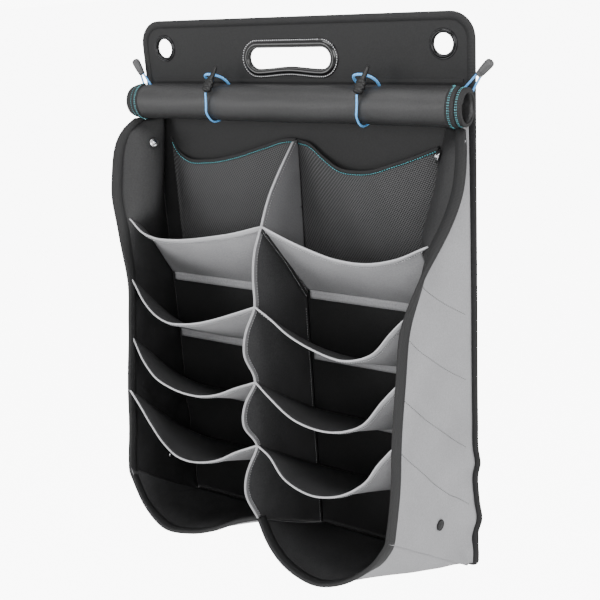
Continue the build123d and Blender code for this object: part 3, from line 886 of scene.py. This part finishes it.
def pocket_grid(sign, low, high):
    """The pocket between two shares of its height, 0 at its foot and 1 at its top edge."""
    rows = []
    for x, _, top in smooth_line([(x, 0, z) for x, z in POCKET_TOPS[sign]], 80):
        across = x / 208.0
        row = []
        for share in np.linspace(low, high, 40):
            z = POCKET_FOOT + (top - POCKET_FOOT) * share
            belly = 10.5 * math.sin(math.pi * min(across, 1)) ** 0.7 * math.sin(math.pi * 0.75 * share)
            folds = 0.8 * math.sin(x / 9.0 + share * 7.0) * share
            row.append((x, SEAM_Y - 1.2 - max(belly + folds, 0.0), z))
        rows.append(row)
    return mirror_if(np.array(rows), sign) * MM


def make_mesh_pockets():
    for side, sign in SIDES:
        grid = pocket_grid(sign, 0.0, 0.975)
        net = add_shell(f"pocket_net_{side}", facing(grid, sign), 0.0008, (NET,) * 3,
                        (f"mesh_pocket_{side}",))
        top = pocket_grid(sign, 0.0, 1.0)[:, -1]
        outs = np.tile((0.0, 0.0, 1.0), (len(top), 1))
        profile = flat_profile(-0.0065, 0.0, 0.0010)
        add_strip(f"pocket_tape_{side}", top, outs, profile, TAPE, (f"mesh_binding_{side}",))
        stitch = top + np.array([0, -0.0012, -0.0054])
        add_stitches(f"pocket_stitch_{side}", stitch, (0, -1, 0), TEAL, 0.0034, 0.0024, "binding_tape",
                     width=0.0011)


# ---- header
HALF, TOP, BOTTOM = 250.0, 37.0, -704.0  # edges of the back panel
WIDE, TIGHT = 32.0, 12.0  # radii of its upper and lower corners
BAND = 10.0  # width of its edge tape


def outline_points():
    """The rounded outline of the back panel, in metres, from the middle of its top."""
    points = [(0, 0, TOP)]
    corners = ((HALF, TOP, WIDE, 90), (HALF, BOTTOM, TIGHT, 0), (-HALF, BOTTOM, TIGHT, -90),
               (-HALF, TOP, WIDE, 180))
    for x, z, radius, start in corners:
        middle_x, middle_z = x - math.copysign(radius, x), z - math.copysign(radius, z)
        for step in range(9):
            angle = math.radians(start - step * 90 / 8)
            points.append((middle_x + radius * math.cos(angle), 0, middle_z + radius * math.sin(angle)))
    points.append((0, 0, TOP))
    return resampled(np.array(points, float), 901)[:-1] * MM


def outward(path):
    """Directions away from the middle of a closed clockwise outline in the plane of the wall."""
    return unit(np.cross(np.roll(path, -1, axis=0) - np.roll(path, 1, axis=0), (0, 1, 0)))


def edge_wander(points):
    """The seams of the side panels pull the tape into small waves low down."""
    sides = (np.abs(points[:, 0]) > 0.2499) * np.sign(points[:, 0])
    moved = points.copy()
    moved[:, 0] += edge_wave(points[:, 2] / MM) * sides * MM
    return moved


def make_back_tape():
    edge = outline_points()
    path = edge_wander(edge) + np.array([0, BOARD_FRONT / 2 * MM, 0])
    add_strip("back_tape", path, outward(edge), flat_profile(-BAND * MM, 0.0, 0.0020), TAPE,
              ("back_binding",), closed=True)


SLOT_X, SLOT_Z = -5.0, -15.0  # middle of the hand slot
SLOT_HALF, SLOT_TALL, SLOT_BUMP = 62.0, 13.5, 3.0  # half its length and height, and the rise of its edge


def slot_points(grow):
    """Outline of the hand slot, grown outward, with its lower edge bowed up in the middle."""
    tall, flat = SLOT_TALL + grow, SLOT_HALF - SLOT_TALL
    right = [(flat + tall * math.sin(a), tall * math.cos(a)) for a in np.linspace(0, math.pi, 40)]
    low = [(x, -tall + SLOT_BUMP * (0.5 + 0.5 * math.cos(math.pi * x / flat)))
           for x in np.linspace(flat, -flat, 50)]
    left = [(-x, z) for x, z in reversed(right)]
    points = np.array([(x + SLOT_X, 0, z + SLOT_Z) for x, z in [*right, *low[1:-1], *left]], float)
    return resampled(np.concatenate([points, points[:1]]), 241)[:-1] * MM


def make_slot_frame():
    """Moulded frame: a ribbed rim, a rounded body and a rolled inner lip with a groove between."""
    path = slot_points(0.0) + np.array([0, BOARD_FRONT * MM, 0])
    front = [(11.0, 0.0), (11.0, -0.9), (10.4, -1.3), (9.0, -1.4), (8.5, -1.1), (8.1, -1.5), (7.2, -2.3),
             (5.9, -2.9), (4.5, -3.1), (3.1, -2.9), (2.2, -2.4), (1.8, -2.1), (1.4, -2.3), (0.9, -2.3),
             (0.3, -1.7), (0.0, -0.9), (0.0, 0.0)]
    add_strip("slot_frame", path, outward(path), mm(front), GLOSS, ("slot_frame_front",),
              closed=True)
    ring = slot_points(9.7)
    ring = np.concatenate([ring, ring[:1]]) + np.array([0, (BOARD_FRONT - 1.45) * MM, 0])
    add_stitches("slot_stitch", ring, (0, -1, 0), SILVER, 0.0032, 0.0020, "frame_plastic", width=0.0012)


def wall_place(x, z):
    """A turned piece's axis out of the wall at a point of the back panel."""
    turn = Matrix.Rotation(math.radians(90), 4, "X")
    return Matrix.Translation((x * MM, BOARD_FRONT * MM, z * MM)) @ turn


def make_eyelets():
    """Rolled flange with a groove, a throat and a curled rear edge."""
    profile = [(18.0, 0.0), (18.0, 0.5), (17.6, 1.0), (17.0, 1.1), (16.6, 0.8), (16.2, 1.2), (15.4, 1.8),
               (14.4, 2.0), (13.4, 1.6), (12.8, 0.9), (12.5, 0.0), (12.5, -2.6), (12.8, -3.6), (13.7, -4.0),
               (15.0, -3.6), (15.4, -3.4)]
    places = [wall_place(x, 0) for x in (-210, 210)]
    add_lathe("eyelet_rings", places, mm(profile), EYELET, ("hanging_eyelets",), sides=72)


# ---- rolled cover
ROLL_ENDS = ((-236.0, 243.0), (-243.0, 252.0), (-248.0, 252.0))
HINGE = (-4.6, -47.0)
NECK_ENDS = (-236.0, 222.0)
NECK_ANGLE = 49.0
TURNS = 3.3
TIE_X = (-104.0, 122.0)


def roll_section(angle_steps):
    """Points down the cover's cross-section from its seam: (y, z, low x, high x, angle)."""
    section = []
    joint = ring_point(NECK_ANGLE, ROLL_R - 0.8)
    for share in np.linspace(0, 1, 8, endpoint=False):
        y = HINGE[0] - 0.5 + (joint[0] - HINGE[0] + 0.5) * share
        z = HINGE[1] + (joint[1] - HINGE[1]) * share - 0.8 * math.sin(math.pi * share)
        section.append((y, z, *NECK_ENDS, None))
    for angle in np.linspace(NECK_ANGLE, NECK_ANGLE + TURNS * 360, angle_steps):
        turned = (angle - NECK_ANGLE) / 360
        radius = ROLL_R - LAYER * turned
        y, z = ring_point(angle, radius)
        section.append((y, z, *roll_ends(turned), angle))
    return section


def ring_point(angle, radius):
    return (ROLL_Y + radius * math.cos(math.radians(angle)), ROLL_Z + radius * math.sin(math.radians(angle)))


def roll_ends(turned):
    """Each turn is wider than the one outside it; the step is where the roll faces the wall."""
    if turned < 0.12:
        share = turned / 0.12
        return tuple(a + (b - a) * share for a, b in zip(NECK_ENDS, ROLL_ENDS[0]))
    level = min(turned - 0.86, 1.98)
    if level <= 0:
        return ROLL_ENDS[0]
    step, rest = int(level), level % 1
    share = min(rest / 0.12, 1.0)
    before, after = ROLL_ENDS[step], ROLL_ENDS[min(step + 1, 2)]
    return tuple(a + (b - a) * share for a, b in zip(before, after))


def roll_give(x, angle):
    """The roll is not quite round, and each tie bites into it a little."""
    bite = sum(1.3 * math.exp(-(((x - tie) / 9.0) ** 2)) for tie in TIE_X)
    turn = math.radians(angle)
    return -bite + (0.35 * math.sin(x / 47.0 + turn * 2) + 0.25 * math.sin(x / 19.0 + turn * 3))


def roll_grid(section, columns):
    rows = []
    for y, z, low, high, angle in section:
        row = []
        for x in np.linspace(low, high, columns):
            give = roll_give(x, angle) if angle is not None else 0.0
            out = np.array([y - ROLL_Y, z - ROLL_Z])
            out = out / np.linalg.norm(out)
            row.append((x, y + out[0] * give, z + out[1] * give))
        rows.append(row)
    return np.array(rows) * MM


def make_roll():
    section = roll_section(230)
    grid = roll_grid(section, 90)
    piece = add_shell("cover_cloth", grid, 0.0014, (COVER_CLOTH,) * 3, ("cover_roll",),
                      body="cover")
    for side, sign in SIDES:
        make_roll_edge(side, sign, section)


# Section of the tape over the cover's end, as (distance in from the end, height above the cloth).
END_TAPE = ((9.6, 0.1), (9.2, 0.45), (4.5, 0.5), (0.4, 0.45), (-0.4, 0.1), (-0.4, -1.1), (0.4, -1.5))


def make_roll_edge(side, sign, section):
    """Tape on the cover's end, turn by turn, and its double row of teal stitches."""
    turns = [(high if sign > 0 else low, y, z) for y, z, low, high, angle in section if angle is not None][6:]
    turns = np.array(turns)
    outs = unit(turns * (0, 1, 1) - (0, ROLL_Y, ROLL_Z))
    rows = [turns + np.array([-sign * inset, 0, 0]) + outs * lift for inset, lift in END_TAPE]
    grid = np.stack(rows, axis=1) * MM
    add_shell(f"cover_tape_{side}", facing(grid, sign), -0.0004, (TAPE,) * 3,
              (f"cover_binding_{side}",), body="cover")
    for number, inset in (("a", 6.2), ("b", 4.6)):
        path = (turns - np.array([sign * inset, 0, 0]) + outs * 0.7) * MM
        add_stitches(f"cover_stitch_{side}_{number}", path, outs, TEAL, 0.0030, 0.0021, "binding_tape",
                     body="cover")


# ---- elastic cords, toggles and pulls
CORD_R, LOOP_R = 1.35, 1.75
TOGGLE_BASE = (-55.5, -50.5)
TOGGLE_LEAN, TOGGLE_TILT, TOGGLE_LENGTH = 32.0, 12.0, 36.0
PULL_Y = -11.0


def add_cord(name, route, radius, body, replaces):
    """A round elastic cord whose smooth line has the route's points as its control points."""
    curve = bpy.data.curves.new(name, "CURVE")
    curve.dimensions = "3D"
    curve.bevel_depth = radius * MM
    curve.bevel_resolution = 5
    curve.use_fill_caps = True
    curve.resolution_u = 14
    spline = curve.splines.new("NURBS")
    spline.points.add(len(route) - 1)
    for point, place in zip(spline.points, mm(route)):
        point.co = (*place, 1.0)
    spline.order_u = 3
    spline.use_endpoint_u = True
    curve.materials.append(ELASTIC)
    cord = bpy.data.objects.new(name, curve)
    bpy.context.scene.collection.objects.link(cord)
    return attach(cord, body, replaces)


def make_ties():
    for (side, _), x in zip(SIDES, TIE_X):
        reach = ROLL_R + CORD_R - 0.6
        rear, front, foot = ROLL_Y + reach, ROLL_Y - reach, ROLL_Z - reach
        route = [(x, rear, -57), (x, rear, foot + 15), (x - 5, rear - 15, foot), (x - 5, front + 15, foot),
                 (x - 3, front, foot + 15), (x - 1, front - 0.5, -70), (x, front - 0.8, -52)]
        add_cord(f"elastic_tie_{side}", route, CORD_R, "cover", (f"tie_cord_{side}",))
        loop = [(x - 19, -14, -47), (x - 22, -23, -39), (x - 15, -36, -31),
                (x + 1, -36, -31), (x + 10, -23, -39), (x + 8, -14, -47)]
        add_cord(f"elastic_loop_{side}", loop, LOOP_R, "cover", (f"tie_loop_{side}",))
        make_toggle(side, x)


# Sections up a toggle, as (share of its length, half width, half depth).
TOGGLE_SECTIONS = ((0.0, 3.2, 2.6), (0.02, 4.6, 3.6), (0.07, 5.6, 4.1), (0.12, 5.9, 4.2), (0.14, 5.2, 3.7),
                   (0.18, 5.2, 3.7), (0.20, 6.2, 4.3), (0.27, 6.2, 4.3), (0.29, 5.3, 3.7),
                   (0.33, 5.3, 3.7), (0.35, 5.8, 4.1), (0.42, 5.6, 4.0), (0.46, 4.2, 3.2),
                   (0.52, 3.0, 2.7), (0.60, 2.6, 2.4), (0.75, 2.4, 2.2), (0.92, 2.1, 1.8),
                   (0.98, 1.5, 1.2), (1.0, 0.4, 0.4))
TOGGLE_SIDES = 28


def make_toggle(side, x):
    """A moulded peg: a broad socket for the cord, a waist and a long flattened tip."""
    place = (Matrix.Translation(mm((x, *TOGGLE_BASE)))
             @ Matrix.Rotation(math.radians(TOGGLE_TILT), 4, "Y")
             @ Matrix.Rotation(math.radians(-TOGGLE_LEAN), 4, "X"))
    vertices = []
    for at, wide, deep in TOGGLE_SECTIONS:
        for step in range(TOGGLE_SIDES):
            angle = 2 * math.pi * step / TOGGLE_SIDES
            across, along = math.cos(angle), math.sin(angle)
            square = 1 / (abs(across) ** 3 + abs(along) ** 3) ** (1 / 3)
            point = (wide * 1.15 * across * square, deep * along * square, at * TOGGLE_LENGTH)
            vertices.append(tuple(place @ Vector(mm(point))))
    faces = ring_faces(len(TOGGLE_SECTIONS), TOGGLE_SIDES)
    faces.append(tuple(reversed(range(TOGGLE_SIDES))))
    faces.append(tuple(range(len(vertices) - TOGGLE_SIDES, len(vertices))))
    add_piece(f"toggle_peg_{side}", vertices, faces, [TOGGLE], f"toggle_{side}",
              (f"toggle_{side}",))


def make_side_pulls():
    """Each pull is (side, sign, mouth of its end, lean, the cord's two anchors)."""
    pulls = (("right", 1, (257, PULL_Y, -35), 45, ((236, -6, -52), (245.5, -6, -58))),
             ("left", -1, (-249, PULL_Y, -34), 28, ((-251, -6.5, -54), (-238, -6.5, -51))))
    for side, sign, mouth, lean, anchors in pulls:
        place = Matrix.Translation(mm(mouth)) @ Matrix.Rotation(math.radians(sign * lean), 4, "Y")
        inside = [place @ Vector(mm(p)) for p in ((-2.2, 0, 1), (-2.2, 0, 12), (2.2, 0, 12), (2.2, 0, 1))]
        route = [anchors[0], *[tuple(p / MM) for p in inside], anchors[1]]
        add_cord(f"elastic_pull_{side}", route, CORD_R, f"side_pull_{side}", (f"side_cord_{side}",))
        profile = [(0.1, -0.2), (3.2, -0.2), (4.0, 0.2), (4.3, 1.2), (4.6, 3.0), (4.3, 3.8), (4.8, 4.6),
                   (5.1, 8.0), (5.5, 14.0), (5.6, 18.0), (5.2, 20.6), (4.0, 22.2), (2.2, 23.0), (0.1, 23.2)]
        add_lathe(f"pull_end_{side}", [place], mm(profile), TAB, (f"pull_tab_{side}",),
                  body=f"side_pull_{side}", sides=32)


# ---- stitched lines on the cloth
def between(values, index):
    """The value at a fractional index."""
    low, share = int(index), index % 1
    return values[low] * (1 - share) + values[low + 1] * share


def on_panel(grid, z, share):
    """The point of the right panel at a height and a share of its width."""
    drop = (PANEL_HEIGHTS[0] - z) / (PANEL_HEIGHTS[0] - PANEL_HEIGHTS[-1])
    return between(between(grid, drop * (PANEL_ROWS - 1)), share * (PANEL_COLUMNS - 1))


def make_panel_stitches():
    """The shelves' side seams show as dark stitches on the outside of the side panels."""
    grid = panel_grid()
    for row, (front_z, rear_z) in enumerate(SHELF_STITCH, start=1):
        shares = np.linspace(0.04, 0.93, 60)
        points = [on_panel(grid, front_z + (rear_z - front_z) * share, 1 - share) for share in shares]
        for side, sign in SIDES:
            path = mirror_if(np.array(points) + np.array([0.0019, 0, 0]), sign)
            add_stitches(f"panel_stitch_{row}_{side}", path, (sign, 0, 0), DARK_THREAD, 0.0040, 0.0026,
                         "panel_cloth", width=0.0010)


# ---- press studs
STUD_UPPER, STUD_LOWER = (-38.0, -126.0), (-77.0, -600.0)  # (y, z) on each side panel
CAP_LIFT, STUD_LIFT = 0.0009, 0.0012  # clear of the cloth's folds


def stud_places(y, z):
    """Frames on the inner faces of both panels, +Z looking into the organizer."""
    x = panel_x(y, z)
    along_y = Vector((panel_x(y - 2, z) - panel_x(y + 2, z), -4, 0))
    along_z = Vector((panel_x(y, z + 2) - panel_x(y, z - 2), 0, 4))
    inward = along_y.cross(along_z).normalized()
    inward = inward if inward.x < 0 else -inward
    places = []
    for _, sign in SIDES:
        facing = Vector((inward.x * sign, inward.y, inward.z))
        turn = facing.to_track_quat("Z", "Y").to_matrix().to_4x4()
        places.append(Matrix.Translation(mm((x * sign, y, z))) @ turn)
    return places


def make_press_studs():
    upper, lower = stud_places(*STUD_UPPER), stud_places(*STUD_LOWER)
    upper = [place @ Matrix.Translation((0, 0, CAP_LIFT)) for place in upper]
    raised = [place @ Matrix.Translation((0, 0, STUD_LIFT)) for place in upper]
    washer = [(3.4, 0.1), (8.2, 0.1), (8.3, 0.8), (7.7, 1.3), (6.6, 1.2), (5.9, 0.8), (3.4, 0.8)]
    add_lathe("stud_washers", raised, mm(washer), STUD_BLACK)
    stud = [(5.7, 0.6), (5.7, 1.4), (5.0, 1.9), (3.4, 1.7), (2.7, 2.2), (2.5, 3.0), (2.8, 3.9), (2.6, 4.5),
            (1.6, 5.0), (0.1, 5.1)]
    add_lathe("stud_posts", raised, mm(stud), NICKEL, ("press_studs",))
    socket = [(3.0, 0.2), (6.5, 0.2), (6.5, 1.4), (5.6, 2.4), (4.6, 2.3), (3.9, 1.9), (3.2, 2.3), (3.0, 1.6),
              (3.0, 0.2)]
    add_lathe("stud_sockets", lower, mm(socket), NICKEL, ("press_sockets",))
    cap = [(7.5, -1.7), (7.5, -2.9), (7.1, -3.5), (6.2, -3.8), (5.6, -3.6), (5.2, -3.3), (4.6, -3.4),
           (3.0, -3.8), (0.1, -3.9)]
    add_lathe("stud_caps", [*upper, *lower], mm(cap), STUD_BLACK, ("press_stud_caps",))


# ---- the whole
LEFT_IN = 0.0075


def draw_in_left():
    """Below the highest shelf the left side hangs a little further in than the right."""
    cad = set(frame["nodes"].values())
    for piece in bpy.data.objects:
        if piece.type != "MESH" or piece in cad or piece.name == "floor":
            continue
        places = np.zeros(len(piece.data.vertices) * 3)
        piece.data.vertices.foreach_get("co", places)
        x, y, z = places.reshape(-1, 3).T
        down = np.clip((-z - 0.29) / 0.09, 0, 1)
        away = np.clip(-x / 0.205, 0, 1) ** 2 * np.clip(-y / 0.15, 0, 1)
        places[0::3] += LEFT_IN * down**2 * (3 - 2 * down) * away
        piece.data.vertices.foreach_set("co", places)
        piece.data.update()


def finish_cad_nodes():
    looks = {
        "back_panel": BOARD_CLOTH,
        "eyelet_washers": EYELET,
        "slot_frame_rear": GLOSS,
        "cover_seam_tape": TAPE_SOLID,
    }
    for node, material in looks.items():
        mesh = frame["nodes"][node].data
        mesh.materials.clear()
        mesh.materials.append(material)


add_camera()
make_ties()
make_side_pulls()
add_studio()
make_side_panels()
make_panel_stitches()
make_divider()
make_shelves()
make_slings()
make_mesh_pockets()
make_back_tape()
make_slot_frame()
make_eyelets()
make_roll()
make_press_studs()
draw_in_left()
finish_cad_nodes()
